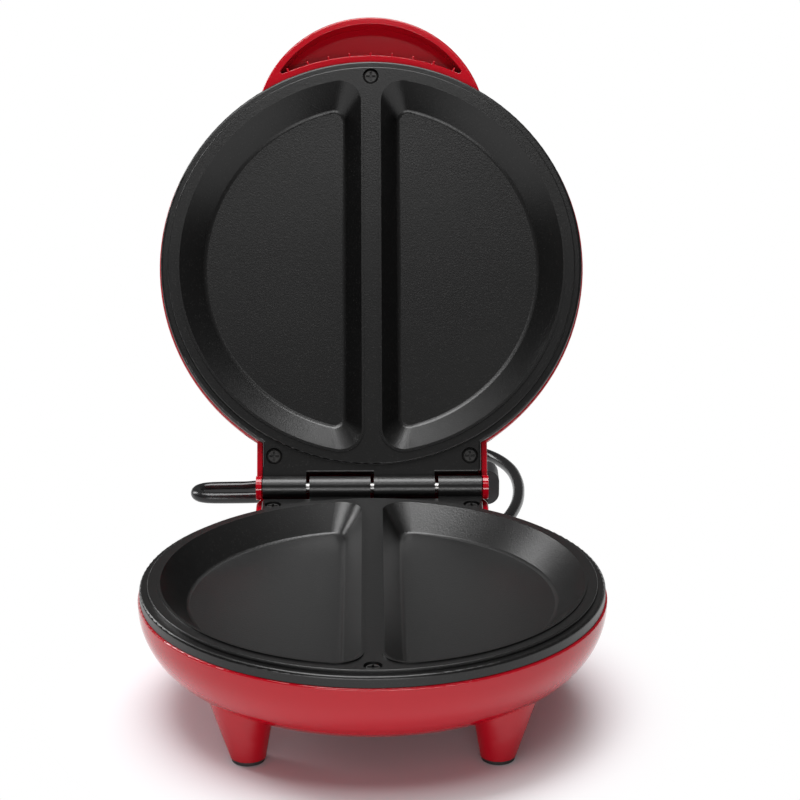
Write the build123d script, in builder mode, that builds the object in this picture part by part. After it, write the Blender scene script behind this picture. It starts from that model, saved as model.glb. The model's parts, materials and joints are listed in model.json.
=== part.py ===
"""Electric omelette maker: two round cooking plates in red shells, joined by a hinge.

Everything is modelled with the lid closed, with the lower plate's centre over X = Y = 0 and the
feet on Z = 0.  The handle points to -Y and the hinge is at +Y.  At the end the lid is swung open
and the whole machine is moved so that its frame's origin is the middle of its footprint.
"""
from build123d import *
import copy
import math
import os

CENTRE_UP = (Align.CENTER, Align.CENTER, Align.MIN)
CENTRE_DOWN = (Align.CENTER, Align.CENTER, Align.MAX)

# ---------------------------------------------------------------------------
# Driving dimensions, in millimetres and degrees
# ---------------------------------------------------------------------------
# The machine as a whole
parting_height = 58.4  # height of the plane in which the closed plates meet, and of the hinge axis
hinge_offset = 7.6  # from the plates' round edge back to the hinge axis
open_angle = 119.0  # how far the lid swings from closed to its stop

# Cooking plate, a coated aluminium casting.  Its heights are counted from the parting plane,
# with the cooking side up, so everything solid is below zero.
plate_radius = 97.0
plate_edge_height = 6.0  # black edge that shows between the ring and the shell
plate_wall = 2.8
deck_thickness = 3.0
tier_width = 3.3  # low tier around the raised ring
ring_height = 1.5  # raised ring above the tier
ring_width = 5.4  # from the ring's edge to the mouth of the cavities
edge_round = 1.2
lip_corner = 10.0
divider_width = 9.2  # flat bar between the cavities
floor_corner = 5.0
round_wall_slant = 11.2  # how far the round cavity walls lean in on their way down
divider_wall_slant = 7.8  # the same for the walls beside the divider
floor_round = 2.5
cavity_depth = 10.0
pan_wall = 3.0
bead_width = 1.1  # raised bead around each cavity
bead_height = 0.6
bead_clearance = 0.2  # from a bead to the parting plane
rear_half_width = 49.5  # straight rear part that carries the knuckles
rear_gap = 7.2  # from the casting's straight rear edge to the hinge axis
rear_corner = 2.0
pad_half_width = 11.0  # flat pad under the divider that carries the thermostat
pad_half_length = 30.0

# Hinge
knuckle_radius = 5.2
knuckle_gap = 1.6
knuckle_split = 29.1  # where the middle knuckles end and the outer ones begin
pin_radius = 2.2
pin_clearance = 0.05
pin_end_gap = 0.6

# Plate screws, three in each casting
screw_head_radius = 3.4
screw_head_height = 2.0
screw_radius = 2.0
screw_length = 14.0
screw_slot_width = 1.0
screw_clearance = 0.15
recess_radius = 3.75
recess_depth = 2.6
front_screw_inset = 7.8  # from the casting's round edge
rear_screw_inset = 5.0  # from the side of the casting's rear part
rear_screw_gap = 15.0  # from the rear screws forward to the hinge axis
foot_radius = 4.9  # round foot under each plate screw
foot_drop = 2.2  # from the casting's lower edge to the feet that stand on the shell
seat_clearance = 0.1

# Small screws of the parts that hang below a casting
small_head_radius = 2.6
small_head_height = 1.6
small_radius = 1.4
small_length = 5.0
small_slot_width = 0.8
pilot_spare = 0.3  # depth of a small screw's hole beyond its tip
stud_radius = 4.0

# Heating element
element_inset = 15.1  # from the edge of the cavity floors to the element's centre line
element_tube = 3.25
element_gap = 0.1
element_leg_x = 18.0
element_leg_inset = 13.0  # from the casting's round edge to the ends of the sheath
element_bend = 10.0
bead_cap_length = 3.0
element_pin_radius = 1.6
element_pin_length = 6.0
clamp_gap = 0.3  # between the element's sheath and its clamps
clamp_sheet = 1.2
clamp_width = 8.0
clamp_foot = 12.0

# Reflector, a thin dish below the element
reflector_floor_spare = 6.5  # from the element's centre line to the dish's bend
reflector_rim_width = 5.5
reflector_rim_rise = 7.0
reflector_sheet = 0.6
reflector_hole_radius = 22.0
reflector_drop = 9.2  # from the casting's lowest face to the dish
reflector_stud_inset = 20.0  # from the element's centre line to the studs
reflector_notch = 24.0

# Thermostat and thermal fuse
thermostat_y = 12.0
thermostat_radius = 7.5
thermostat_cap_height = 4.0
thermostat_body_height = 7.0
thermostat_flange = 0.8
thermostat_screw_x = 12.0
tab_width = 5.0
tab_sheet = 0.8
tab_length = 8.0
tab_x = 4.5
fuse_y = -12.0
fuse_radius = 2.2
fuse_length = 12.0
fuse_wire_radius = 0.6
fuse_wire_length = 7.0
fuse_screw_y = -20.0

# Shells
shell_wall = 2.5
shell_overhang = 0.8  # how far the shells stand out past the castings
shell_seam = 0.2
bowl_depth = 42.1  # from the parting plane down to the base's flat underside
bowl_bottom_inset = 31.8  # from the bowl's side to the edge of its flat underside
bowl_side_drop = 27.4
bowl_side_round = 29.0
bowl_bottom_round = 18.0
dome_height = 38.0  # lid's top above the parting plane
dome_top_inset = 57.8  # from the dome's side to the edge of its flat top
dome_side = 24.0
dome_side_round = 18.0
dome_top_round = 140.0
cheek_gap = 0.5  # between the castings' straight rear part and the shells' side walls
rear_wall_gap = 0.6  # between the knuckles and the shells' rear walls
rear_round = 10.0
base_rear_round = 4.0  # along the underside of the base's rear part
lid_rear_height = 31.0
stop_relief = 1.0  # degrees that each shell is cut back behind the hinge
rim_round = 0.8  # outer edge of the shells' rims
ear_radius = 5.4
ear_clearance = 0.6
boss_radius = 5.0
boss_pilot = 10.4
boss_web = 4.0

# Handle, a crescent that stands out of the lid's front edge
handle_radius = 54.0
handle_inset = 31.0  # from the plates' round edge back to the crescent's centre
handle_height = 14.0
handle_lip = 3.4
handle_pocket = 9.0
handle_ledge = 4.2
handle_round = 4.5
handle_lip_round = 1.0
rib_count = 9
rib_pitch = 9.9
rib_width = 1.0
rib_reach = 1.6
ledge_round = 0.35

# Feet.  Each leg's place is given where it stands and where its slant ends inside the bowl.
leg_rise = 13.7  # from the bowl's underside up to where the legs end
leg_top_radius = 15.6
leg_foot_radius = 7.4
leg_wall = 2.5
leg_sole = 2.0  # solid part above a pad's stem
front_leg_inset = (15.4, 13.0)  # from the edge of the bowl's flat underside
front_leg_top_inset = (12.5, 22.0)
rear_leg_x = 36.0
rear_leg_gap = 17.6  # forward to the hinge axis
rear_leg_top_x = 35.0
rear_leg_top_gap = 22.6
pad_radius = 6.8
pad_thickness = 2.0
pad_stem_radius = 4.0
pad_stem_length = 5.0
pad_stem_clearance = 0.1

# Indicator lights
lens_x = 12.0
lens_inset = 16.0  # from the plates' round edge
lens_radius = 3.4
lens_clearance = 0.1
lens_flange_radius = 4.8
lens_flange = 1.0
lens_seat = 22.8
lens_seat_radius = 5.4
lens_top = 28.8  # above the parting plane, like the seat
lens_round = 1.2
holder_sheet = 1.2
holder_half_length = 19.0
holder_width = 7.4
lamp_radius = 2.2
lamp_length = 12.0
lamp_gap = 0.2
holder_shift = 0.7  # from the lamps' centre line to the holder's
holder_boss_radius = 3.0
lamp_ring_radius = 3.4
lamp_ring_width = 1.5
lamp_ring_shift = 4.5
lamp_window_radius = 2.6
boss_clearance = 0.5

# Supply cord and what holds it
cord_radius = 3.0
cord_exit_rise = 10.7  # from the base's underside to the cord's centre
relief_length = 32.0
relief_root_radius = 5.4
relief_tip_radius = 3.9
relief_flange_radius = 6.6
relief_flange = 1.6
relief_neck_radius = 4.6
relief_clearance = 0.1
clamp_bar_gap = 12.6  # forward to the hinge axis
clamp_bar_length = 26.0
clamp_bar_width = 8.0
clamp_bar_height = 3.2
clamp_post_x = 9.0
clamp_post_radius = 3.6
block_size = (26.0, 14.0, 12.0)
block_gap = 34.6  # forward to the hinge axis
block_stand = 1.6
block_boss_radius = 4.0
block_recess = 6.0
block_screw_reach = 3.0
block_well_x = 8.0
block_well_radius = 2.2
clamp_rib = 3.0
clamp_bar_screw = 8.0
relief_groove_count = 5
relief_groove_pitch = 4.6
relief_groove_width = 1.6
relief_groove_radius = 3.4
cord_lift = 0.3  # cord's underside above the floor
lead_radius = 1.3
lead_bend = 4.0
fuse_lead_x = 12.5
wire_rise = 9.2  # from the base's inner floor to the wires
low_wire_rise = 3.7
block_wire_x = 8.0  # the two wires' places in the terminal block
supply_run = 28.0  # from the block to the thermostat wire's turn
tab_wire_run = 7.6
thermostat_wire_reach = 39.0  # from the element's end forward to the wire's turn
fuse_supply_run = 7.0  # from the block to the fuse wire's dip
fuse_turn_x = 9.0
fuse_turn_run = 17.0
fuse_wire_reach = 20.0  # from the fuse back to its supply wire's turn
fuse_wire_lift = 3.5
side_turn_x = 22.0  # where the wire from fuse to element swings out
side_turn_run = 32.0
side_wire_reach = 24.0
block_well_rise = 5.6  # from the terminal block's underside to its wires
lamp_lead_radius = 1.0
lamp_lead_inset = 14.5  # from the plates' round edge
lamp_lead_level = 19.0
lamp_lead_rise = 5.5  # by how much the lamp wires rise on their way to the element

# Plug, standing on its narrow side behind the machine
plug_x = 55.0
plug_front = 236.0
plug_length = 17.0
plug_thickness = 18.0
plug_width = 18.0
plug_round = 6.0
plug_back_round = 3.0
sleeve_length = 10.0
sleeve_root_radius = 4.8
blade_spacing = 12.7
blade_width = 6.3
blade_thickness = 1.5
blade_length = 16.0
blade_root = 6.0

# ---------------------------------------------------------------------------
# Heights and places that follow from the driving dimensions
# ---------------------------------------------------------------------------
hinge_back = plate_radius + hinge_offset
ring_radius = plate_radius - tier_width
lip_radius = ring_radius - ring_width
floor_radius = lip_radius - round_wall_slant
floor_divider_width = divider_width + 2 * divider_wall_slant
front_screw_radius = plate_radius - front_screw_inset
rear_screw_x = rear_half_width - rear_screw_inset
element_radius = floor_radius - element_inset
element_leg_end = plate_radius - element_leg_inset
reflector_floor_radius = element_radius + reflector_floor_spare
reflector_rim_radius = reflector_floor_radius + reflector_rim_width
reflector_stud_radius = element_radius - reflector_stud_inset
bead_top = -bead_clearance
ring_top = bead_top - bead_height
tier_top = ring_top - ring_height
deck_bottom = tier_top - deck_thickness
skirt_bottom = ring_top - plate_edge_height
cavity_floor = ring_top - cavity_depth
pan_bottom = cavity_floor - pan_wall
foot_bottom = skirt_bottom - foot_drop
rear_edge = hinge_back - rear_gap
element_centre = pan_bottom - element_gap - element_tube
reflector_top = pan_bottom - reflector_drop
rear_screw_y = hinge_back - rear_screw_gap
recess_seats = {"front": ring_top - recess_depth, "rear": tier_top - recess_depth}
screw_places = [
    (0, -front_screw_radius, recess_seats["front"]),
    (rear_screw_x, rear_screw_y, recess_seats["rear"]),
    (-rear_screw_x, rear_screw_y, recess_seats["rear"]),
]

shell_radius = plate_radius + shell_overhang
bowl_bottom = parting_height - bowl_depth
bowl_bottom_radius = shell_radius - bowl_bottom_inset
dome_top_radius = shell_radius - dome_top_inset
handle_centre = plate_radius - handle_inset
lens_y = lens_inset - plate_radius
holder_y = lens_y + holder_shift
cord_exit_height = bowl_bottom + cord_exit_rise
clamp_bar_y = hinge_back - clamp_bar_gap
block_y = hinge_back - block_gap
leg_floor = pad_thickness + pad_stem_length + leg_sole
front_leg = (bowl_bottom_radius - front_leg_inset[0], front_leg_inset[1] - bowl_bottom_radius)
front_leg_top = (bowl_bottom_radius - front_leg_top_inset[0], front_leg_top_inset[1] - bowl_bottom_radius)
rear_leg = (rear_leg_x, hinge_back - rear_leg_gap)
rear_leg_top = (rear_leg_top_x, hinge_back - rear_leg_top_gap)
rim_drop = shell_seam - skirt_bottom  # from the parting plane to each shell's rim
inner_half_width = rear_half_width + cheek_gap
outer_half_width = inner_half_width + shell_wall
inner_back = hinge_back + knuckle_radius + rear_wall_gap
outer_back = inner_back + shell_wall
half_swing = open_angle / 2 + stop_relief

knuckle_spans = [
    (knuckle_gap / 2 - knuckle_split, -knuckle_gap / 2),
    (knuckle_split + knuckle_gap / 2, rear_half_width),
]
clamp_angles = [180, 270, 360]
clamp_places = [
    (
        (element_radius - clamp_foot) * math.cos(math.radians(angle)),
        (element_radius - clamp_foot) * math.sin(math.radians(angle)),
    )
    for angle in clamp_angles
]
reflector_places = [
    (
        reflector_stud_radius * math.cos(math.radians(angle)),
        reflector_stud_radius * math.sin(math.radians(angle)),
    )
    for angle in (90, 210, 330)
]
thermostat_places = [(thermostat_screw_x, thermostat_y), (-thermostat_screw_x, thermostat_y)]
# small screw holes in the casting: place, height of the hole's mouth, and the sheet it holds
pilot_places = [(x, y, element_centre, clamp_sheet) for x, y in clamp_places]
pilot_places += [(x, y, reflector_top, reflector_sheet) for x, y in reflector_places]
pilot_places += [
    (x, y, pan_bottom - thermostat_cap_height, thermostat_flange) for x, y in thermostat_places
]
pilot_places += [(0, fuse_screw_y, pan_bottom, thermostat_flange)]

lower_seat = Location((0, 0, parting_height))
upper_seat = Location((0, 0, parting_height), (0, 180, 0))


# ---------------------------------------------------------------------------
# Helpers
# ---------------------------------------------------------------------------
def plate_outline(height, inset=0.0):
    """Round plate with its straight rear part, as a face at the given height."""
    with BuildSketch(Plane.XY.offset(height)) as outline:
        Circle(plate_radius - inset)
        with Locations((0, (rear_edge - inset) / 2)):
            Rectangle(2 * (rear_half_width - inset), rear_edge - inset)
    return outline.sketch


def half_moon(height, radius, bar, corner, grow=0.0):
    """Right-hand cavity outline: a disc cut off beside the bar, with its corners rounded."""
    with BuildSketch(Plane.XY.offset(height)) as moon:
        Circle(radius + grow)
        with Locations((bar / 2 - grow - radius - grow, 0)):
            Rectangle(2 * (radius + grow), 2 * (radius + grow) + 2, mode=Mode.SUBTRACT)
        fillet(moon.vertices(), corner + grow)
    return moon.sketch


def screw(head_radius, head_height, radius, length, slot_width):
    """Pan head screw with its seat on the XY plane, its head up and its shank down."""
    with BuildPart() as body:
        Cylinder(head_radius, head_height, align=CENTRE_UP)
        fillet(body.edges().sort_by(Axis.Z)[-1], head_height * 0.4)
        Cylinder(radius, length, align=CENTRE_DOWN)
        with BuildSketch(Plane.XY.offset(head_height)):
            Rectangle(head_radius * 1.3, slot_width)
            Rectangle(slot_width, head_radius * 1.3)
        extrude(amount=-head_height * 0.55, mode=Mode.SUBTRACT)
    return body.part


def small_screw(height, places, length=small_length):
    """Small screws that point up, with their heads below the given height."""
    one = screw(small_head_radius, small_head_height, small_radius, length, small_slot_width)
    with BuildPart() as group:
        for x, y in places:
            add(one.moved(Location((x, y, height), (180, 0, 0))))
    return group.part


def shell_profile(inset, rim, side, side_round, corner_radius, corner_round, end):
    """Half section of a bowl from its rim to its flat end, offset inwards by inset.

    The bowl opens at the height rim; end is the height of its closed side, and side is where the
    slope between them meets the bowl's straight rim.
    """
    way = math.copysign(1, rim - end)
    slope = math.atan2(abs(side - end), shell_radius - corner_radius)
    near_end = corner_radius - inset * math.tan(slope / 2)
    run = shell_radius - inset - corner_radius
    near_side = end + way * (inset + run * math.sin(slope)) / math.cos(slope)
    with BuildSketch(Plane.XZ) as profile:
        with BuildLine():
            FilletPolyline(
                (0, end + way * inset),
                (near_end, end + way * inset),
                (shell_radius - inset, near_side),
                (shell_radius - inset, rim),
                radius=[corner_round - inset, side_round - inset],
            )
            Polyline((shell_radius - inset, rim), (0, rim), (0, end + way * inset))
        make_face()
    return profile.sketch


def tube(path, radius):
    """Round bar swept along a path of straight runs and tangent arcs."""
    with BuildPart() as bar:
        with BuildSketch(Plane(origin=path @ 0, z_dir=path % 0)):
            Circle(radius)
        sweep(path=path)
    return bar.part


def lead(points, bend, radius=lead_radius):
    """Wire with equal bends at all of its points."""
    with BuildLine() as path:
        FilletPolyline(*points, radius=bend)
    return tube(path.wire(), radius)


def bend_radii(points):
    """Bend at each inner point that leaves a tenth of the shorter run beside it straight."""
    radii = []
    for before, here, after in zip(points, points[1:], points[2:]):
        run_in = Vector(*here) - Vector(*before)
        run_out = Vector(*after) - Vector(*here)
        turn = math.radians(run_in.get_angle(run_out))
        radii.append(0.45 * min(run_in.length, run_out.length) / math.tan(turn / 2))
    return radii


def rear_part(inset, rim, end, end_round):
    """Straight rear part of a shell between its rim and its closed end, offset inwards."""
    floor = end + math.copysign(inset, rim - end)
    with BuildPart() as block:
        with Locations((0, (outer_back - inset) / 2, (rim + floor) / 2)):
            Box(2 * (outer_half_width - inset), outer_back - inset, abs(rim - floor))
        fillet(block.edges().filter_by(Axis.Z).group_by(Axis.Y)[-1], rear_round - inset)
        closed_face = block.faces().sort_by(Axis.Z, reverse=end > rim)[0]
        fillet(closed_face.edges().sort_by(Axis.Y)[1:], end_round - inset)
    return block.part


def leg(foot, top, low, inset):
    """Slanted round leg from the height low up into the bowl, widening upwards."""
    high = bowl_bottom + leg_rise
    with BuildPart() as cone:
        for height in (low, high):
            share = (height - pad_thickness) / (high - pad_thickness)
            x = foot[0] + share * (top[0] - foot[0])
            y = foot[1] + share * (top[1] - foot[1])
            with BuildSketch(Plane.XY.offset(height)):
                with Locations((x, y)):
                    Circle(leg_foot_radius + share * (leg_top_radius - leg_foot_radius) - inset)
        loft()
    return cone.part


def boss_bars(height, reach):
    """Posts of the three plate screws from the given height, with webs to the shell's wall."""
    with BuildPart() as bars:
        with BuildSketch(Plane.XY.offset(height)):
            for x, y, seat in screw_places:
                with Locations((x, y)):
                    Circle(boss_radius)
            with Locations((0, -front_screw_radius)):
                Rectangle(boss_web, 2 * boss_web, align=(Align.CENTER, Align.MAX))
            with Locations((rear_screw_x, rear_screw_y)):
                Rectangle(2 * boss_web, boss_web, align=(Align.MIN, Align.CENTER))
            with Locations((-rear_screw_x, rear_screw_y)):
                Rectangle(2 * boss_web, boss_web, align=(Align.MAX, Align.CENTER))
        extrude(amount=reach)
    return bars.part


def hinge_sector(way):
    """Wedge behind the hinge axis that lets the other shell swing; way is 1 above, -1 below."""
    reach = 2 * (outer_back - hinge_back) / math.cos(math.radians(half_swing))
    tip = (hinge_back, parting_height)
    slant = math.radians(half_swing)
    with BuildPart() as wedge:
        with BuildSketch(Plane.YZ):
            with BuildLine():
                Polyline(
                    tip,
                    (tip[0] + reach * math.cos(slant), tip[1] + way * reach * math.sin(slant)),
                    (tip[0] + reach, tip[1] + way * reach * math.sin(slant)),
                    (tip[0] + reach, tip[1] - way * reach),
                    (tip[0], tip[1] - way * reach),
                    close=True,
                )
            make_face()
        extrude(amount=2 * outer_half_width, both=True)
    return wedge.part


# ---------------------------------------------------------------------------
# Cooking plate: one casting, used face up below and face down above
# ---------------------------------------------------------------------------
with BuildPart() as cavity:
    loft([
        half_moon(bead_top, lip_radius, divider_width, lip_corner),
        half_moon(cavity_floor, floor_radius, floor_divider_width, floor_corner),
    ])
    fillet(cavity.faces().sort_by(Axis.Z)[0].edges(), floor_round)
    mirror(about=Plane.YZ)

with BuildPart() as cooking_plate:
    # deck and skirt
    add(plate_outline(tier_top))
    extrude(amount=-deck_thickness)
    add(plate_outline(deck_bottom))
    extrude(amount=skirt_bottom - deck_bottom)
    add(plate_outline(deck_bottom, plate_wall))
    extrude(amount=skirt_bottom - deck_bottom, mode=Mode.SUBTRACT)
    rear_edges = cooking_plate.edges().filter_by(Axis.Z).group_by(Axis.Y)[-1]
    fillet(rear_edges, rear_corner)
    fillet(cooking_plate.faces().sort_by(Axis.Z)[-1].edges(), edge_round)
    # raised ring, and the beads around the cavities
    with Locations((0, 0, tier_top)):
        Cylinder(ring_radius, ring_height, align=CENTRE_UP)
    fillet(cooking_plate.faces().sort_by(Axis.Z)[-1].edges(), ring_height * 0.3)
    moon = half_moon(ring_top, lip_radius, divider_width, lip_corner, grow=bead_width)
    for face in (moon, mirror(moon, about=Plane.YZ, mode=Mode.PRIVATE)):
        extrude(face, amount=bead_height)
    # pans under the deck, with the flat pad between them
    pan = loft(
        [
            half_moon(tier_top, lip_radius, divider_width, lip_corner, grow=pan_wall),
            half_moon(pan_bottom, floor_radius, floor_divider_width, floor_corner, grow=pan_wall),
        ],
    )
    mirror(pan, about=Plane.YZ)
    with Locations((0, 0, deck_bottom)):
        Box(2 * pad_half_width, 2 * pad_half_length, deck_bottom - pan_bottom, align=CENTRE_DOWN)
    # feet for the plate screws, and studs for the clamps, reflector and thermostat
    for x, y, seat in screw_places:
        with Locations((x, y, deck_bottom)):
            Cylinder(foot_radius, deck_bottom - foot_bottom, align=CENTRE_DOWN)
    for x, y, height, sheet in pilot_places[:-1]:
        with Locations((x, y, deck_bottom)):
            Cylinder(stud_radius, deck_bottom - height, align=CENTRE_DOWN)
    # cavities
    add(cavity.part, mode=Mode.SUBTRACT)

    # knuckles for the hinge, right of the middle and at the left end of the other casting
    for start, end in knuckle_spans:
        with Locations(((start + end) / 2, hinge_back, 0)):
            Cylinder(knuckle_radius, end - start, rotation=(0, 90, 0))
        with Locations(((start + end) / 2, rear_edge - plate_wall, tier_top)):
            Box(
                end - start,
                rear_gap + plate_wall,
                deck_thickness,
                align=(Align.CENTER, Align.MIN, Align.MAX),
            )
    with Locations((0, hinge_back, 0)):
        Cylinder(pin_radius + pin_clearance, 4 * rear_half_width, rotation=(0, 90, 0), mode=Mode.SUBTRACT)
    # screw recesses and holes
    for place in screw_places:
        with Locations(place):
            Cylinder(recess_radius, 2 * recess_depth, align=CENTRE_UP, mode=Mode.SUBTRACT)
            Cylinder(
                screw_radius + screw_clearance, 2 * pan_wall + foot_drop + deck_thickness,
                align=CENTRE_DOWN, mode=Mode.SUBTRACT,
            )
    for x, y, height, sheet in pilot_places:
        with Locations((x, y, height)):
            Cylinder(
                small_radius + screw_clearance, small_length - sheet + pilot_spare,
                align=CENTRE_UP, mode=Mode.SUBTRACT,
            )

with BuildPart() as plate_screws:
    plate_screw = screw(screw_head_radius, screw_head_height, screw_radius, screw_length, screw_slot_width)
    for place in screw_places:
        add(plate_screw.moved(Location(place)))

# ---------------------------------------------------------------------------
# Heating element, a sheathed tube under the casting, with its clamps
# ---------------------------------------------------------------------------
with BuildLine(Plane.XY.offset(element_centre)) as element_path:
    join = math.sqrt(element_radius**2 - element_leg_x**2)
    Line((element_leg_x, element_leg_end), (element_leg_x, join))
    ThreePointArc((element_leg_x, join), (0, -element_radius), (-element_leg_x, join))
    Line((-element_leg_x, join), (-element_leg_x, element_leg_end))
    corners = element_path.vertices().filter_by_position(Axis.Y, join - 0.1, join + 0.1)
    fillet(corners, element_bend)

with BuildPart() as element:
    with BuildSketch(Plane.XZ.offset(-element_leg_end)):
        with Locations((element_leg_x, element_centre)):
            Circle(element_tube)
    sweep(path=element_path.wire())
    with BuildSketch(Plane.XZ.offset(-element_leg_end)):
        with Locations((element_leg_x, element_centre), (-element_leg_x, element_centre)):
            Circle(element_pin_radius)
    extrude(amount=-(bead_cap_length + element_pin_length))
    with BuildSketch(Plane.XZ.offset(-element_leg_end)):
        with Locations((element_leg_x, element_centre), (-element_leg_x, element_centre)):
            Circle(element_tube * 0.9)
    extrude(amount=-bead_cap_length)

with BuildPart() as element_clamp:
    inner = element_tube + clamp_gap
    outer = inner + clamp_sheet
    with BuildSketch(Plane.XZ):
        with Locations((element_radius, element_centre)):
            Circle(outer)
            Circle(inner, mode=Mode.SUBTRACT)
            Rectangle(2 * outer, 2 * outer, align=(Align.CENTER, Align.MIN), mode=Mode.SUBTRACT)
        with Locations((element_radius + inner, element_centre)):
            Rectangle(clamp_sheet, pan_bottom - element_centre, align=(Align.MIN, Align.MIN))
        with Locations((element_radius - inner, element_centre)):
            Rectangle(clamp_foot - inner + stud_radius, clamp_sheet, align=(Align.MAX, Align.MAX))
    extrude(amount=clamp_width / 2, both=True)
    with Locations((element_radius - clamp_foot, 0, element_centre)):
        Hole(small_radius + screw_clearance)

with BuildPart() as element_clamps:
    for angle in clamp_angles:
        add(element_clamp.part.rotate(Axis.Z, angle))

clamp_screws = small_screw(element_centre - clamp_sheet, clamp_places)

# ---------------------------------------------------------------------------
# Reflector, a thin dish that throws the heat back to the casting
# ---------------------------------------------------------------------------
with BuildPart() as reflector:
    with BuildSketch(Plane.XZ):
        with BuildLine():
            Polyline(
                (reflector_hole_radius, reflector_top),
                (reflector_floor_radius, reflector_top),
                (reflector_rim_radius, reflector_top + reflector_rim_rise),
                (reflector_rim_radius + reflector_sheet, reflector_top + reflector_rim_rise),
                (reflector_floor_radius + reflector_sheet, reflector_top - reflector_sheet),
                (reflector_hole_radius, reflector_top - reflector_sheet),
                close=True,
            )
        make_face()
    revolve(axis=Axis.Z)
    with Locations((0, reflector_rim_radius, reflector_top)):
        Box(
            2 * reflector_notch, reflector_rim_radius, 4 * reflector_rim_rise,
            align=CENTRE_UP, mode=Mode.SUBTRACT,
        )
    for x, y in reflector_places:
        with Locations((x, y, reflector_top)):
            Hole(small_radius + screw_clearance)

reflector_screws = small_screw(reflector_top - reflector_sheet, reflector_places)

# ---------------------------------------------------------------------------
# Thermostat and thermal fuse, under the lower casting
# ---------------------------------------------------------------------------
flange_top = pan_bottom - thermostat_cap_height
body_bottom = flange_top - thermostat_flange - thermostat_body_height
with BuildPart() as thermostat:
    with Locations((0, thermostat_y, pan_bottom)):
        Cylinder(thermostat_radius, thermostat_cap_height + thermostat_flange, align=CENTRE_DOWN)
    with Locations((0, thermostat_y, flange_top)):
        Box(
            2 * (thermostat_screw_x + stud_radius), 2 * stud_radius, thermostat_flange,
            align=CENTRE_DOWN,
        )
        with Locations((thermostat_screw_x, 0), (-thermostat_screw_x, 0)):
            Hole(small_radius + screw_clearance)
    with Locations((0, thermostat_y, flange_top - thermostat_flange)):
        Cylinder(thermostat_radius, thermostat_body_height, align=CENTRE_DOWN)
    with Locations((tab_x, thermostat_y, body_bottom), (-tab_x, thermostat_y, body_bottom)):
        Box(tab_width, tab_sheet, tab_length, align=CENTRE_DOWN)

thermostat_screws = small_screw(flange_top - thermostat_flange, thermostat_places)

fuse_centre = pan_bottom - element_gap - fuse_radius
fuse_clip_radius = fuse_radius + element_gap
with BuildPart() as thermal_fuse:
    with Locations((0, fuse_y, fuse_centre)):
        Cylinder(fuse_radius, fuse_length, rotation=(0, 90, 0))
        Cylinder(fuse_wire_radius, fuse_length + 2 * fuse_wire_length, rotation=(0, 90, 0))

with BuildPart() as fuse_clip:
    clip_outer = fuse_clip_radius + thermostat_flange
    with BuildSketch(Plane.YZ):
        with Locations((fuse_y, fuse_centre)):
            Circle(clip_outer)
            Rectangle(2 * clip_outer, clip_outer, align=(Align.CENTER, Align.MIN), mode=Mode.SUBTRACT)
            Rectangle(2 * clip_outer, pan_bottom - fuse_centre, align=(Align.CENTER, Align.MIN))
            Circle(fuse_clip_radius, mode=Mode.SUBTRACT)
            Rectangle(
                2 * fuse_clip_radius, pan_bottom - fuse_centre,
                align=(Align.CENTER, Align.MIN), mode=Mode.SUBTRACT,
            )
        with Locations((fuse_y - fuse_clip_radius, pan_bottom)):
            Rectangle(
                fuse_y - fuse_clip_radius - fuse_screw_y + stud_radius, thermostat_flange,
                align=(Align.MAX, Align.MAX),
            )
    extrude(amount=stud_radius, both=True)
    with Locations((0, fuse_screw_y, pan_bottom)):
        Hole(small_radius + screw_clearance)

fuse_screw = small_screw(pan_bottom - thermostat_flange, [(0, fuse_screw_y)])

# ---------------------------------------------------------------------------
# Base shell: bowl, straight rear part and four hollow legs in one moulding
# ---------------------------------------------------------------------------
base_rim = parting_height - rim_drop
base_floor = bowl_bottom + shell_wall
base_boss_top = parting_height + foot_bottom - seat_clearance
cord_post_top = cord_exit_height + cord_radius + boss_clearance / 5
block_bottom = base_floor + block_stand
leg_places = [(front_leg, front_leg_top), (rear_leg, rear_leg_top)]


def bowl_body(inset):
    """Solid bowl with its rear part, offset inwards by inset."""
    with BuildPart() as body:
        add(shell_profile(
            inset, base_rim, parting_height - bowl_side_drop, bowl_side_round,
            bowl_bottom_radius, bowl_bottom_round, bowl_bottom,
        ))
        revolve(axis=Axis.Z)
        add(rear_part(inset, base_rim, bowl_bottom, base_rear_round))
        if inset == 0:
            fillet(body.faces().sort_by(Axis.Z)[-1].edges(), rim_round)
    return body.part


with BuildPart() as base_hollow:
    add(bowl_body(shell_wall))
    for foot, top in leg_places:
        hollow_leg = leg(foot, top, leg_floor, leg_wall)
        add(hollow_leg)
        add(mirror(hollow_leg, about=Plane.YZ, mode=Mode.PRIVATE))
    # bosses for the plate screws, tied to the walls
    add(boss_bars(base_boss_top, bowl_bottom - base_boss_top), mode=Mode.SUBTRACT)
    # posts and rib of the cord clamp, boss of the terminal block
    with Locations((clamp_post_x, clamp_bar_y, 0), (-clamp_post_x, clamp_bar_y, 0)):
        Cylinder(clamp_post_radius, cord_post_top, align=CENTRE_UP, mode=Mode.SUBTRACT)
    with Locations((0, clamp_bar_y, 0)):
        Box(
            2 * clamp_post_x, clamp_rib, cord_exit_height - cord_radius - boss_clearance / 5,
            align=CENTRE_UP, mode=Mode.SUBTRACT,
        )
    with Locations((0, block_y, 0)):
        Cylinder(block_boss_radius, block_bottom, align=CENTRE_UP, mode=Mode.SUBTRACT)

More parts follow.
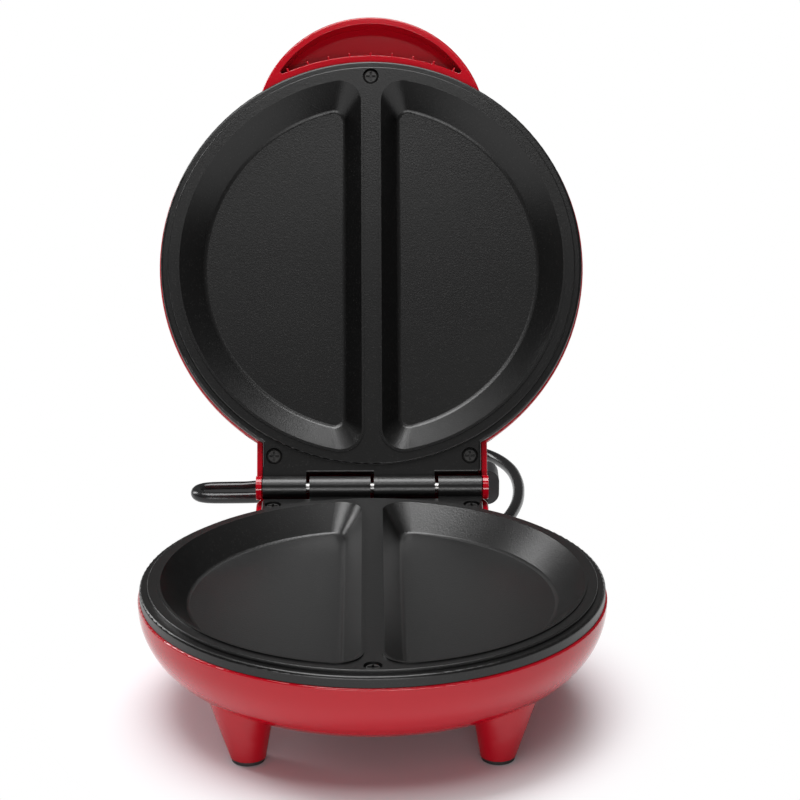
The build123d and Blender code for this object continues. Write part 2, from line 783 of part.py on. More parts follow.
with BuildPart() as base_shell:
    add(bowl_body(0))
    for foot, top in leg_places:
        outer_leg = leg(foot, top, pad_thickness, 0)
        add(outer_leg)
        add(mirror(outer_leg, about=Plane.YZ, mode=Mode.PRIVATE))
    add(base_hollow.part, mode=Mode.SUBTRACT)
    # room behind the hinge for the open lid, and for the lid's ears
    add(hinge_sector(-1), mode=Mode.SUBTRACT)
    with Locations((0, hinge_back, parting_height)):
        Cylinder(
            ear_radius + ear_clearance, 2 * outer_half_width + 2, rotation=(0, 90, 0),
            mode=Mode.SUBTRACT,
        )
    # screw holes
    for x, y, seat in screw_places:
        with Locations((x, y, base_boss_top)):
            Cylinder(screw_radius + screw_clearance, boss_pilot, align=CENTRE_DOWN, mode=Mode.SUBTRACT)
    with Locations((clamp_post_x, clamp_bar_y, cord_post_top), (-clamp_post_x, clamp_bar_y, cord_post_top)):
        Cylinder(
            small_radius + screw_clearance, clamp_bar_screw - clamp_bar_height + pilot_spare,
            align=CENTRE_DOWN, mode=Mode.SUBTRACT,
        )
    with Locations((0, block_y, block_bottom)):
        Cylinder(
            small_radius + screw_clearance, block_screw_reach + pilot_spare,
            align=CENTRE_DOWN, mode=Mode.SUBTRACT,
        )
    # hole for the cord, and holes for the stems of the foot pads
    with Locations((0, outer_back, cord_exit_height)):
        Cylinder(
            relief_neck_radius + relief_clearance, 4 * shell_wall, rotation=(90, 0, 0),
            mode=Mode.SUBTRACT,
        )
    for x, y in (front_leg, rear_leg):
        with Locations((x, y, pad_thickness), (-x, y, pad_thickness)):
            Cylinder(
                pad_stem_radius + pad_stem_clearance, pad_stem_length + pad_stem_clearance,
                align=CENTRE_UP, mode=Mode.SUBTRACT,
            )

# ---------------------------------------------------------------------------
# Lid shell: dome, rear hump, ears over the hinge and handle in one moulding
# ---------------------------------------------------------------------------
lid_rim = parting_height + rim_drop
lid_top = parting_height + dome_height
lid_boss_bottom = parting_height - foot_bottom + seat_clearance
ledge_radius = plate_radius + handle_ledge


def dome_body(inset):
    """Solid dome with its rear hump, offset inwards by inset."""
    with BuildPart() as body:
        add(shell_profile(
            inset, lid_rim, parting_height + dome_side, dome_side_round,
            dome_top_radius, dome_top_round, lid_top,
        ))
        revolve(axis=Axis.Z)
        add(rear_part(inset, lid_rim, parting_height + lid_rear_height, rear_round))
        if inset == 0:
            fillet(body.faces().sort_by(Axis.Z)[0].edges(), rim_round)
    return body.part


with BuildPart() as lid_hollow:
    add(dome_body(shell_wall))
    # bosses for the plate screws, seats of the lenses and boss of the lamp holder
    add(boss_bars(lid_boss_bottom, dome_height), mode=Mode.SUBTRACT)
    seat_height = parting_height + lens_seat
    with Locations((lens_x, lens_y, seat_height), (-lens_x, lens_y, seat_height)):
        Cylinder(lens_seat_radius, dome_height, align=CENTRE_UP, mode=Mode.SUBTRACT)
    with Locations((0, holder_y, seat_height - lens_flange)):
        Cylinder(holder_boss_radius, dome_height, align=CENTRE_UP, mode=Mode.SUBTRACT)

with BuildPart() as lid_shell:
    # handle
    with Locations((0, -handle_centre, lid_rim)):
        Cylinder(handle_radius, handle_height, align=CENTRE_UP)
    fillet(lid_shell.faces().sort_by(Axis.Z)[-1].edges(), handle_round)
    fillet(lid_shell.faces().sort_by(Axis.Z)[0].edges(), handle_lip_round)
    add(dome_body(0))
    add(lid_hollow.part, mode=Mode.SUBTRACT)
    add(hinge_sector(1), mode=Mode.SUBTRACT)
    # pocket under the handle, with ribs along its inner wall
    with BuildSketch(Plane.XY.offset(lid_rim)) as pocket:
        with Locations((0, -handle_centre)):
            Circle(handle_radius - handle_lip)
        Circle(ledge_radius, mode=Mode.SUBTRACT)
        fillet(pocket.vertices(), handle_lip_round)
        rib_spread = math.degrees(rib_pitch * (rib_count - 1) / ledge_radius)
        with PolarLocations(
            ledge_radius, rib_count, start_angle=-90 - rib_spread / 2, angular_range=rib_spread,
            endpoint=True,
        ):
            Rectangle(2 * rib_reach, rib_width, mode=Mode.SUBTRACT)
    extrude(amount=handle_pocket, mode=Mode.SUBTRACT)
    ledge_edges = [
        edge for edge in lid_shell.edges()
        if abs(edge.center().Z - lid_rim) < 0.01
        and 0 < math.hypot(edge.center().X, edge.center().Y) - ledge_radius + 0.1 < rib_reach + 0.2
        and edge.center().Y < -ledge_radius * 0.8
    ]
    fillet(ledge_edges, ledge_round)
    # ears that cover the ends of the hinge
    ear_x = inner_half_width + shell_wall / 2
    with Locations((ear_x, hinge_back, parting_height), (-ear_x, hinge_back, parting_height)):
        Cylinder(ear_radius, shell_wall, rotation=(0, 90, 0))
        Box(shell_wall, ear_radius, rim_drop + 1, align=(Align.CENTER, Align.MAX, Align.MIN))
    # screw holes
    for x, y, seat in screw_places:
        with Locations((x, y, lid_boss_bottom)):
            Cylinder(screw_radius + screw_clearance, boss_pilot, align=CENTRE_UP, mode=Mode.SUBTRACT)
    with Locations((0, holder_y, parting_height + lens_seat - lens_flange)):
        Cylinder(
            small_radius + screw_clearance, small_length - holder_sheet + pilot_spare,
            align=CENTRE_UP, mode=Mode.SUBTRACT,
        )
    # holes for the lenses
    with Locations((lens_x, lens_y, parting_height), (-lens_x, lens_y, parting_height)):
        Cylinder(lens_radius + lens_clearance, dome_height, align=CENTRE_UP, mode=Mode.SUBTRACT)

# ---------------------------------------------------------------------------
# Foot pads
# ---------------------------------------------------------------------------
with BuildPart() as foot_pad:
    Cylinder(pad_radius, pad_thickness, align=CENTRE_UP)
    fillet(foot_pad.edges().sort_by(Axis.Z)[0], pad_thickness * 0.3)
    with Locations((0, 0, pad_thickness)):
        Cylinder(pad_stem_radius, pad_stem_length, align=CENTRE_UP)

# ---------------------------------------------------------------------------
# Hinge pin, held in the lower casting's knuckles
# ---------------------------------------------------------------------------
with BuildPart() as hinge_pin:
    with Locations((0, hinge_back, parting_height)):
        Cylinder(pin_radius, 2 * (inner_half_width - pin_end_gap), rotation=(0, 90, 0))
    chamfer(hinge_pin.edges().filter_by(GeomType.CIRCLE), pin_end_gap)

# ---------------------------------------------------------------------------
# Indicator lights in the lid
# ---------------------------------------------------------------------------
seat_level = parting_height + lens_seat
holder_top = seat_level - lens_flange
lamp_level = holder_top - holder_sheet - lamp_gap - lamp_radius


def lens(x):
    """Light lens, pushed up through the lid against its flange."""
    with BuildPart() as body:
        with Locations((x, lens_y, seat_level)):
            Cylinder(lens_radius, lens_top - lens_seat, align=CENTRE_UP)
        fillet(body.edges().sort_by(Axis.Z)[-1], lens_round)
        with Locations((x, lens_y, seat_level)):
            Cylinder(lens_flange_radius, lens_flange, align=CENTRE_DOWN)
    return body.part


def neon_lamp(side):
    """Small glass lamp lying under a lens, with its wire at its outer end."""
    with BuildPart() as body:
        with Locations((side * lens_x, lens_y, lamp_level)):
            Cylinder(lamp_radius, lamp_length, rotation=(0, 90, 0))
        inner_end = body.edges().filter_by(GeomType.CIRCLE).sort_by(Axis.X, reverse=side < 0)[0]
        fillet(inner_end, lamp_radius * 0.5)
    return body.part


with BuildPart() as lamp_holder:
    with Locations((0, holder_y, holder_top)):
        Box(2 * holder_half_length, holder_width, holder_sheet, align=CENTRE_DOWN)
    ring_places = [
        (side * (lens_x + shift), lens_y, lamp_level)
        for side in (-1, 1)
        for shift in (-lamp_ring_shift, lamp_ring_shift)
    ]
    with Locations(*ring_places):
        Cylinder(lamp_ring_radius, lamp_ring_width, rotation=(0, 90, 0))
        Box(
            lamp_ring_width, 2 * lamp_radius, holder_top - holder_sheet - lamp_level,
            align=CENTRE_UP,
        )
    with Locations((0, lens_y, lamp_level)):
        Cylinder(
            lamp_radius + lens_clearance, 2 * holder_half_length,
            rotation=(0, 90, 0), mode=Mode.SUBTRACT,
        )
    with Locations((lens_x, lens_y), (-lens_x, lens_y)):
        Cylinder(lamp_window_radius, 4 * lid_top, mode=Mode.SUBTRACT)
    with Locations((0, holder_y)):
        Cylinder(small_radius + screw_clearance, 4 * lid_top, mode=Mode.SUBTRACT)

holder_screw = small_screw(holder_top - holder_sheet, [(0, holder_y)])

# ---------------------------------------------------------------------------
# Terminal block, cord clamp and the cord's inner end, in the base
# ---------------------------------------------------------------------------
block_seat = block_bottom + block_size[2] - block_recess
with BuildPart() as terminal_block:
    with Locations((0, block_y, block_bottom)):
        Box(*block_size, align=CENTRE_UP)
    fillet(terminal_block.edges().filter_by(Axis.Z), small_slot_width)
    with Locations((0, block_y, block_bottom + block_size[2])):
        CounterBoreHole(
            small_radius + screw_clearance, small_head_radius + screw_clearance, block_recess,
        )
    with Locations((block_well_x, block_y, block_seat), (-block_well_x, block_y, block_seat)):
        Cylinder(block_well_radius, block_recess, align=CENTRE_UP, mode=Mode.SUBTRACT)

with BuildPart() as block_screw:
    add(screw(
        small_head_radius, small_head_height, small_radius,
        block_seat - block_bottom + block_screw_reach, small_slot_width,
    ).moved(Location((0, block_y, block_seat))))

with BuildPart() as cord_clamp:
    with Locations((0, clamp_bar_y, cord_post_top)):
        Box(clamp_bar_length, clamp_bar_width, clamp_bar_height, align=CENTRE_UP)
    fillet(cord_clamp.edges().filter_by(Axis.Z), small_slot_width)
    with Locations((clamp_post_x, clamp_bar_y), (-clamp_post_x, clamp_bar_y)):
        Cylinder(small_radius + screw_clearance, 4 * cord_post_top, mode=Mode.SUBTRACT)

with BuildPart() as cord_clamp_screws:
    clamp_bar_one = screw(
        small_head_radius, small_head_height, small_radius, clamp_bar_screw, small_slot_width,
    )
    for x in (-clamp_post_x, clamp_post_x):
        add(clamp_bar_one.moved(Location((x, clamp_bar_y, cord_post_top + clamp_bar_height))))

with BuildPart() as cord_tail:
    with BuildSketch(Plane.XZ.offset(relief_flange - inner_back)):
        with Locations((0, cord_exit_height)):
            Circle(cord_radius)
    extrude(amount=inner_back - relief_flange - block_y - block_size[1] / 2)

with BuildPart() as strain_relief:
    with BuildSketch(Plane.YZ):
        with BuildLine():
            Polyline(
                (inner_back - relief_flange, cord_exit_height),
                (inner_back - relief_flange, cord_exit_height + relief_flange_radius),
                (inner_back, cord_exit_height + relief_flange_radius),
                (inner_back, cord_exit_height + relief_neck_radius),
                (outer_back, cord_exit_height + relief_neck_radius),
                (outer_back, cord_exit_height + relief_root_radius),
                (outer_back + relief_length, cord_exit_height + relief_tip_radius),
                (outer_back + relief_length, cord_exit_height),
                close=True,
            )
        make_face()
    revolve(axis=Axis((0, 0, cord_exit_height), (0, 1, 0)))
    for index in range(relief_groove_count):
        groove_y = outer_back + relief_groove_pitch * (index + 1)
        with BuildSketch(Plane.XZ.offset(-groove_y)):
            with Locations((0, cord_exit_height)):
                Circle(relief_root_radius + 1)
                Circle(relief_groove_radius, mode=Mode.SUBTRACT)
        extrude(amount=-relief_groove_width, mode=Mode.SUBTRACT)

# ---------------------------------------------------------------------------
# Wires
# ---------------------------------------------------------------------------
block_front = block_y - block_size[1] / 2
tab_back = thermostat_y + tab_sheet / 2
pin_underside = parting_height + element_centre - element_pin_radius
fuse_underside = parting_height + fuse_centre - fuse_wire_radius
wire_level = base_floor + wire_rise
low_wire_level = base_floor + low_wire_rise
block_level = block_bottom + block_well_rise
pin_y = element_leg_end + bead_cap_length + element_pin_length * 0.4

thermostat_supply_lead = lead(
    [
        (-block_wire_x, block_front, block_level),
        (-block_wire_x, block_front - supply_run, block_level),
        (-tab_x, tab_back + tab_wire_run, wire_level),
        (-tab_x, tab_back, wire_level),
    ],
    lead_bend,
)
thermostat_element_lead = lead(
    [
        (tab_x, tab_back, wire_level),
        (tab_x, tab_back + tab_wire_run, wire_level),
        (element_leg_x, element_leg_end - thermostat_wire_reach, wire_level),
        (element_leg_x, pin_y, wire_level),
        (element_leg_x, pin_y, pin_underside),
    ],
    lead_bend,
)
fuse_supply_lead = lead(
    [
        (block_wire_x, block_front, block_level),
        (block_wire_x, block_front - fuse_supply_run, block_level),
        (fuse_turn_x, block_front - fuse_turn_run, low_wire_level),
        (fuse_lead_x, fuse_y + fuse_wire_reach, low_wire_level),
        (fuse_lead_x, fuse_y, low_wire_level + fuse_wire_lift),
        (fuse_lead_x, fuse_y, fuse_underside),
    ],
    lead_bend,
)
fuse_element_lead = lead(
    [
        (-fuse_lead_x, fuse_y, fuse_underside),
        (-fuse_lead_x, fuse_y, wire_level),
        (-side_turn_x, fuse_y + side_turn_run, wire_level),
        (-element_leg_x, element_leg_end - side_wire_reach, wire_level),
        (-element_leg_x, pin_y, wire_level),
        (-element_leg_x, pin_y, pin_underside),
    ],
    lead_bend,
)


def lid_lead(side):
    """Wire from a lamp around the lid's plate to the heating element's pin."""
    pin_top = 2 * parting_height - pin_underside
    reach = plate_radius - lamp_lead_inset
    level = parting_height + lamp_lead_level
    points = [
        (lens_x + lamp_length / 2, lens_y, lamp_level),
        (lens_x + lamp_length / 2 + 7, lens_y, lamp_level),
    ]
    for angle in (-58, -37, -13, 13, 37):
        points.append((reach * math.cos(math.radians(angle)), reach * math.sin(math.radians(angle)), level))
    points += [
        (reach * math.cos(math.radians(58)), reach * math.sin(math.radians(58)), level + lamp_lead_rise / 3),
        (element_leg_x, element_leg_end - 4, level + lamp_lead_rise),
        (element_leg_x, pin_y, level + lamp_lead_rise),
        (element_leg_x, pin_y, pin_top),
    ]
    return lead([(side * x, y, z) for x, y, z in points], lead_bend, lamp_lead_radius)


# ---------------------------------------------------------------------------
# Supply cord, lying on the floor behind the machine, and its plug
# ---------------------------------------------------------------------------
relief_end = outer_back + relief_length
plug_level = plug_width / 2
plug_end = plug_front + plug_length + sleeve_length
floor_level = cord_radius + cord_lift
cord_points = [
    (0, relief_end, cord_exit_height),
    (0, relief_end + 11.1, cord_exit_height),
    (3, 172, 20.5),
    (9, 185, 11),
    (20, 192, 4.6),
    (36, 192, floor_level),
    (52, 194, floor_level),
    (65.5, 203, floor_level),
    (70.5, 218, floor_level),
    (74, 236, floor_level),
    (75, 258, floor_level),
    (72, 281, floor_level),
    (62, 301, floor_level),
    (44, 312.5, floor_level),
    (21, 318, floor_level),
    (-5, 318, floor_level),
    (-27, 310, floor_level),
    (-40, 294, floor_level),
    (-44, 275, floor_level),
    (-49, 260.5, floor_level),
    (-60, 253.2, floor_level),
    (-73, 252.9, floor_level),
    (-84.5, 252.4, floor_level),
    (-89, 248.5, floor_level),
    (-89, 242.4, floor_level),
    (-84.5, 238.4, floor_level),
    (-73, 238.1, floor_level),
    (-58, 238.5, floor_level),
    (-40, 241, floor_level),
    (-24, 247.5, floor_level),
    (-10, 260, floor_level),
    (1, 275, floor_level),
    (12, 288, floor_level),
    (27, 295, floor_level),
    (41, 292, 4.6),
    (51, 283.5, 7.4),
    (plug_x, plug_end + 9, plug_level),
    (plug_x, plug_end, plug_level),
]
cord_bends = bend_radii(cord_points)
with BuildLine() as cord_path:
    FilletPolyline(*cord_points, radius=cord_bends)
cord = tube(cord_path.wire(), cord_radius)

blade_places = [
    (plug_x, plug_front, plug_level + blade_spacing / 2),
    (plug_x, plug_front, plug_level - blade_spacing / 2),
]
with BuildPart() as plug_blades:
    for x, y, z in blade_places:
        with Locations((x, y + blade_root, z)):
            Box(
                blade_width, blade_root + blade_length, blade_thickness,
                align=(Align.CENTER, Align.MAX, Align.CENTER),
            )
    fillet(plug_blades.edges().filter_by(Axis.Z).group_by(Axis.Y)[0], blade_width * 0.3)

with BuildPart() as plug:
    with Locations((plug_x, plug_front, plug_level)):
        Box(plug_thickness, plug_length, plug_width, align=(Align.CENTER, Align.MIN, Align.CENTER))
    fillet(plug.edges().filter_by(Axis.Y), plug_round)
    fillet(plug.faces().sort_by(Axis.Y)[-1].edges(), plug_back_round)
    with BuildSketch(Plane.XZ.offset(-plug_front - plug_length)):
        with Locations((plug_x, plug_level)):
            Circle(sleeve_root_radius)
    with BuildSketch(Plane.XZ.offset(-plug_end)):
        with Locations((plug_x, plug_level)):
            Circle(relief_tip_radius)
    loft()
    add(plug_blades.part, mode=Mode.SUBTRACT)

# ---------------------------------------------------------------------------
# All pieces, with the lid swung open and the frame moved to the middle of the footprint
# ---------------------------------------------------------------------------
hinge_place = Location((0, hinge_back, parting_height))
swing = hinge_place * Location((0, 0, 0), (-open_angle, 0, 0)) * hinge_place.inverse()

twin_pieces = {
    "cooking_plate": cooking_plate.part,
    "plate_screws": plate_screws.part,
    "heating_element": element.part,
    "element_clamps": element_clamps.part,
    "clamp_screws": clamp_screws,
    "reflector": reflector.part,
    "reflector_screws": reflector_screws,
}
pieces = {f"base_{name}": piece.moved(lower_seat) for name, piece in twin_pieces.items()}
pieces |= {f"lid_{name}": piece.moved(swing * upper_seat) for name, piece in twin_pieces.items()}
pieces |= {
    "thermostat": thermostat.part.moved(lower_seat),
    "thermostat_screws": thermostat_screws.moved(lower_seat),
    "thermal_fuse": thermal_fuse.part.moved(lower_seat),
    "fuse_clip": fuse_clip.part.moved(lower_seat),
    "fuse_screw": fuse_screw.moved(lower_seat),
    "base_shell": base_shell.part,
    "hinge_pin": hinge_pin.part,
    "terminal_block": terminal_block.part,
    "block_screw": block_screw.part,
    "cord_clamp": cord_clamp.part,
    "cord_clamp_screws": cord_clamp_screws.part,
    "cord_tail": cord_tail.part,
    "strain_relief": strain_relief.part,
    "thermostat_supply_lead": thermostat_supply_lead,
    "thermostat_element_lead": thermostat_element_lead,
    "fuse_supply_lead": fuse_supply_lead,
    "fuse_element_lead": fuse_element_lead,
    "lid_shell": lid_shell.part.moved(swing),
    "power_lens": lens(-lens_x).moved(swing),
    "ready_lens": lens(lens_x).moved(swing),
    "lamp_holder": lamp_holder.part.moved(swing),
    "holder_screw": holder_screw.moved(swing),
    "power_lamp": neon_lamp(-1).moved(swing),
    "ready_lamp": neon_lamp(1).moved(swing),
    "power_lamp_lead": lid_lead(-1).moved(swing),
    "ready_lamp_lead": lid_lead(1).moved(swing),
}
for row, (x, y) in (("front", front_leg), ("rear", rear_leg)):
    pieces[f"foot_pad_{row}_left"] = foot_pad.part.moved(Location((-x, y, 0)))
    pieces[f"foot_pad_{row}_right"] = foot_pad.part.moved(Location((x, y, 0)))

machine = Compound(children=[copy.copy(piece) for piece in pieces.values()]).bounding_box()
middle = (machine.min.Y + machine.max.Y) / 2
pieces |= {
    "cord": cord,
    "plug": plug.part,
    "plug_blades": plug_blades.part,
}

os.makedirs("parts", exist_ok=True)
for name, piece in pieces.items():
    placed = piece.moved(Location((0, -middle, 0)))
    placed.label = name
    export_step(placed, f"parts/{name}.step")
    print(f"{name:28s} {len(placed.solids())} solid(s) {placed.volume:12.1f} mm3")

print(f"middle Y {middle:.3f}, hinge axis at Y {hinge_back - middle:.3f}, Z {parting_height}")
print("machine", machine.size)
print("cord bend radii", [round(bend, 1) for bend in cord_bends])
print(
    f"cord length {cord_path.wire().length:.1f}, volume {cord.volume:.1f},",
    f"section times length {math.pi * cord_radius**2 * cord_path.wire().length:.1f}",
)
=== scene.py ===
# %% [markdown]
# # Electric omelette maker
# The real machine is two black castings in glossy red shells, joined by a hinge, with a lead that
# lies behind it.  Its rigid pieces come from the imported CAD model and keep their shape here, because
# modelling them a second time would only let the two drift apart.  This lesson gives them their
# finishes, makes the cord and the plate screws anew, and lights them.

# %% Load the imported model
import bpy
import json
import math
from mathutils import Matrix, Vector


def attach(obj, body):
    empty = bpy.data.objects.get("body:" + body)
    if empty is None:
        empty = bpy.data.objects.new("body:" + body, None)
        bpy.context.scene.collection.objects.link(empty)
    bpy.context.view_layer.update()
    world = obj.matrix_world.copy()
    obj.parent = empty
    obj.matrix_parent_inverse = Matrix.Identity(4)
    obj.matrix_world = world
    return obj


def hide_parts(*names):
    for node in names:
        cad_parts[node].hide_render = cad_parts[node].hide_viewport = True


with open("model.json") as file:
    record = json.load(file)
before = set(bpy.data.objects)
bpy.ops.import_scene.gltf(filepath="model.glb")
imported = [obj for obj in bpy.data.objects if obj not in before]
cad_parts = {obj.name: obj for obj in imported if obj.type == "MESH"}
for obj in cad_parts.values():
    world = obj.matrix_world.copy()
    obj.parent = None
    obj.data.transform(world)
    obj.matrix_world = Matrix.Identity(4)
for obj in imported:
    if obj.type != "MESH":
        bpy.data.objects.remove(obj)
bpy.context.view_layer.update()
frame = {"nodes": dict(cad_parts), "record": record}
nodes = frame["nodes"]
record = frame["record"]
print("pieces in the model:", len(nodes))

# %% [markdown]
# ## Camera
# The machine is seen as someone at the worktop sees it, from a little above and a little more than a
# metre away.  A short lens close by would frame it too, but it would swell the near plate.  A long
# lens keeps the circles round, so the camera stands far back and sees a narrow angle.

# %% Camera
SHIFT = 0.066219  # from the plates' centre back to the middle of the footprint
CAMERA_SPOT = (-0.26, -1063.2, 495.3)
CAMERA_AIM = (11.43, 0, 135.6)
SENSOR_WIDTH = 36
LENS = 123.84


def place(x, y, z):
    """Point in metres from millimetres counted from the lower plate's centre."""
    return Vector((x / 1000, y / 1000 - SHIFT, z / 1000))


camera = bpy.data.objects.new("camera", bpy.data.cameras.new("camera"))
bpy.context.scene.collection.objects.link(camera)
camera.location = place(*CAMERA_SPOT)
aim = place(*CAMERA_AIM) - camera.location
camera.rotation_euler = aim.to_track_quat("-Z", "Y").to_euler()
camera.data.sensor_width = SENSOR_WIDTH
camera.data.lens = LENS
bpy.context.scene.camera = camera
print(f"camera {aim.length:.3f} m from its aim")

# %% [markdown]
# ## The supply cord
# A real lead is a smooth round jacket that lies where it was dropped.  It could be a mesh tube or a
# Bezier curve, but every handle of those has to be lined up by hand.  A NURBS curve with a round bevel
# needs only a few control points and never kinks.  Its order is set after its points are added,
# because a spline that is still empty can't take it.

# %% Supply cord
CORD_ROUTE = [
    (0, 144.9, 27), (0, 156, 27), (3, 172, 20.5), (9, 185, 11), (20, 192, 4.6),
    (36, 192, 3.3), (52, 194, 3.3), (65.5, 203, 3.3), (70.5, 218, 3.3), (74, 236, 3.3),
    (75, 258, 3.3), (72, 281, 3.3), (62, 301, 3.3), (44, 312.5, 3.3), (21, 318, 3.3),
    (-5, 318, 3.3), (-27, 310, 3.3), (-40, 294, 3.3), (-44, 275, 3.3), (-49, 260.5, 3.3),
    (-60, 253.2, 3.3), (-73, 252.9, 3.3), (-84.5, 252.4, 3.3), (-89, 248.5, 3.3), (-89, 242.4, 3.3),
    (-84.5, 238.4, 3.3), (-73, 238.1, 3.3), (-58, 238.5, 3.3), (-40, 241, 3.3), (-24, 247.5, 3.3),
    (-10, 260, 3.3), (1, 275, 3.3), (12, 288, 3.3), (27, 295, 3.3), (41, 292, 4.6),
    (51, 283.5, 7.4), (55, 272, 9), (55, 263, 9),
]
CORD_DIAMETER = 0.006
cord_curve = bpy.data.curves.new("supply_cord", "CURVE")
cord_curve.dimensions = "3D"
cord_curve.bevel_depth = CORD_DIAMETER / 2
cord_curve.bevel_resolution = 6
cord_curve.resolution_u = 12
spline = cord_curve.splines.new("NURBS")
spline.points.add(len(CORD_ROUTE) - 1)
for point, (x, y, z) in zip(spline.points, CORD_ROUTE):
    point.co = (*place(x, y, z), 1)
spline.order_u = 3
spline.use_endpoint_u = True
supply_cord = bpy.data.objects.new("supply_cord", cord_curve)
bpy.context.scene.collection.objects.link(supply_cord)

# %% [markdown]
# ## Effects that several finishes share
# Moulded, cast and coated surfaces are never quite even.  Each material could carry its own noise,
# but then one change would have to be made in all of them.  Three small shader groups hold what the
# surfaces have in common, and every material places them with its own sizes: fine flecks, a soft
# patchiness, and a grain that only changes the height of the surface.

# %% Shader group helper
def shader_group(name, inputs, outputs):
    """Empty shader node group with named inputs (name, socket type, value) and outputs."""
    group = bpy.data.node_groups.new(name, "ShaderNodeTree")
    for label, kind, value in inputs:
        socket = group.interface.new_socket(label, in_out="INPUT", socket_type=kind)
        socket.default_value = value
    for label, kind in outputs:
        group.interface.new_socket(label, in_out="OUTPUT", socket_type=kind)
    return group, group.nodes.new("NodeGroupInput"), group.nodes.new("NodeGroupOutput")


def link(tree, start, end):
    """Wire from one socket to another."""
    tree.links.new(start, end)


# %% Flecks: small pale points scattered in a dark coat
FLOAT = "NodeSocketFloat"
FLECK_EDGE = 0.45  # where a fleck begins, in the distance from its cell's middle
FLECK_CORE = 0.15  # where it is at its strongest
flecks, given, made = shader_group(
    "flecks",
    [("Scale", FLOAT, 900.0), ("Share", FLOAT, 0.1), ("Strength", FLOAT, 0.5)],
    [("Mask", FLOAT)],
)
where = flecks.nodes.new("ShaderNodeTexCoord")
cells = flecks.nodes.new("ShaderNodeTexVoronoi")
cells.feature = "F1"
pick = flecks.nodes.new("ShaderNodeSeparateColor")
edge = flecks.nodes.new("ShaderNodeMath")
edge.operation = "LESS_THAN"
small = flecks.nodes.new("ShaderNodeMapRange")
small.inputs["From Min"].default_value = FLECK_EDGE
small.inputs["From Max"].default_value = FLECK_CORE
both = flecks.nodes.new("ShaderNodeMath")
both.operation = "MULTIPLY"
scaled = flecks.nodes.new("ShaderNodeMath")
scaled.operation = "MULTIPLY"
link(flecks, where.outputs["Object"], cells.inputs["Vector"])
link(flecks, given.outputs["Scale"], cells.inputs["Scale"])
link(flecks, cells.outputs["Color"], pick.inputs["Color"])
link(flecks, pick.outputs["Red"], edge.inputs[0])
link(flecks, given.outputs["Share"], edge.inputs[1])
link(flecks, cells.outputs["Distance"], small.inputs["Value"])
link(flecks, edge.outputs[0], both.inputs[0])
link(flecks, small.outputs["Result"], both.inputs[1])
link(flecks, both.outputs[0], scaled.inputs[0])
link(flecks, given.outputs["Strength"], scaled.inputs[1])
link(flecks, scaled.outputs[0], made.inputs["Mask"])
print("group", flecks.name, "with", len(flecks.nodes), "nodes")

# %% Patches: slow changes in tone and gloss
CLOUD_DETAIL = 4
CLOUD_RANGE = (0.3, 0.7)  # the part of the noise that is used from end to end
patches, given, made = shader_group(
    "patches",
    [("Scale", FLOAT, 12.0), ("Low", FLOAT, 0.3), ("High", FLOAT, 0.4)],
    [("Value", FLOAT)],
)
where = patches.nodes.new("ShaderNodeTexCoord")
cloud = patches.nodes.new("ShaderNodeTexNoise")
cloud.inputs["Detail"].default_value = CLOUD_DETAIL
spread = patches.nodes.new("ShaderNodeMapRange")
spread.inputs["From Min"].default_value = CLOUD_RANGE[0]
spread.inputs["From Max"].default_value = CLOUD_RANGE[1]
link(patches, where.outputs["Object"], cloud.inputs["Vector"])
link(patches, given.outputs["Scale"], cloud.inputs["Scale"])
link(patches, cloud.outputs["Fac"], spread.inputs["Value"])
link(patches, given.outputs["Low"], spread.inputs["To Min"])
link(patches, given.outputs["High"], spread.inputs["To Max"])
link(patches, spread.outputs["Result"], made.inputs["Value"])
print("group", patches.name, "with", len(patches.nodes), "nodes")

# %% Grain: fine height noise, stretched along an axis where the metal was drawn or brushed
DUST_DETAIL = 2
grain, given, made = shader_group(
    "grain",
    [("Scale", FLOAT, 1500.0), ("Stretch", "NodeSocketVector", (1.0, 1.0, 1.0))],
    [("Height", FLOAT)],
)
where = grain.nodes.new("ShaderNodeTexCoord")
stretch = grain.nodes.new("ShaderNodeVectorMath")
stretch.operation = "MULTIPLY"
dust = grain.nodes.new("ShaderNodeTexNoise")
dust.inputs["Detail"].default_value = DUST_DETAIL
link(grain, where.outputs["Object"], stretch.inputs[0])
link(grain, given.outputs["Stretch"], stretch.inputs[1])
link(grain, stretch.outputs["Vector"], dust.inputs["Vector"])
link(grain, given.outputs["Scale"], dust.inputs["Scale"])
link(grain, dust.outputs["Fac"], made.inputs["Height"])
print("group", grain.name, "with", len(grain.nodes), "nodes")


# %% [markdown]
# ## Finishes
# Every finish starts from the same layout: a base colour that drifts a little between two tones, a
# roughness that drifts with it, a fine grain in the normal, and flecks where the coat has them.  One
# helper builds it, so the finishes differ only in their numbers and are easy to compare.
# What is the same all over a surface is set on the shader's own sockets.

# %% Finish helper
GRAIN_DEPTH = 0.0002
GLOSS_SCALE = 1.7  # how much finer the gloss drifts than the tone


